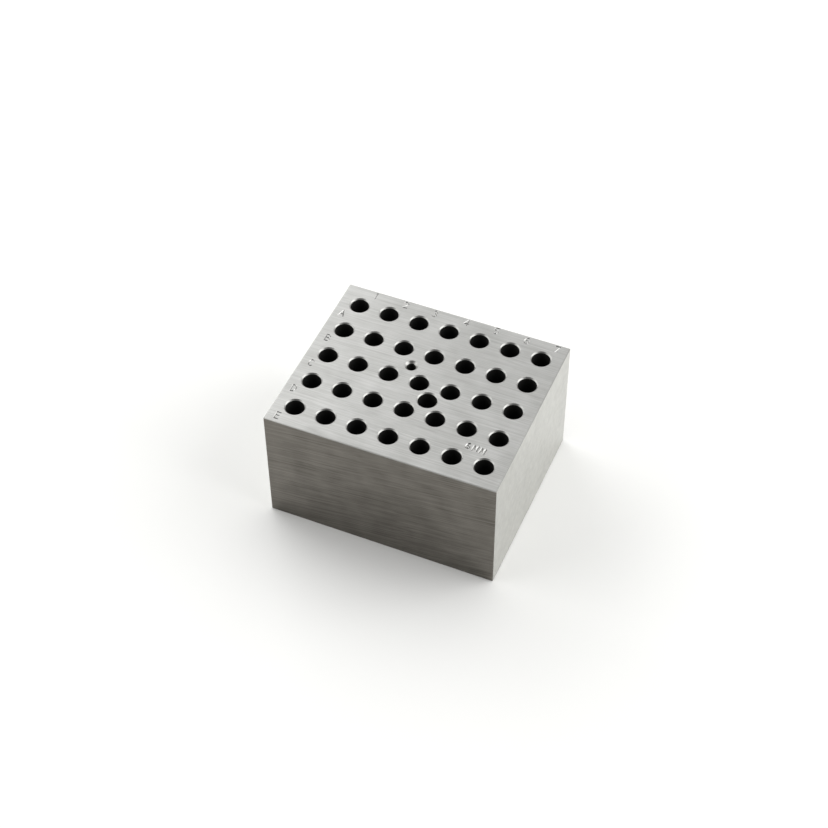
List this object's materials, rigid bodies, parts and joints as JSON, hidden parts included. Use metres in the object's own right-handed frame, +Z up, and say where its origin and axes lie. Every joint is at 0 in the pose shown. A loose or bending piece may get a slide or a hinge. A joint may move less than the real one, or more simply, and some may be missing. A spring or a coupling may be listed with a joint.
{
  "type": "heat block insert",
  "caption": "Solid aluminium block for a dry bath, with a grid of blind wells for 6 mm test tubes, a thermometer well and a tapped hole for a lifting handle.",
  "frame": {"origin": "centre of the underside", "axes": "+X along the rows of wells, from column 1 to column 7; +Y across the rows, from row E to row A, where the column numbers are; +Z up, out of the wells"},
  "size_m": [0.09, 0.0756, 0.0508],
  "materials": {
    "aluminium": "milled and brushed along its length, not anodised"
  },
  "bodies": {
    "root": {"block": "aluminium"}
  },
  "joints": []
}
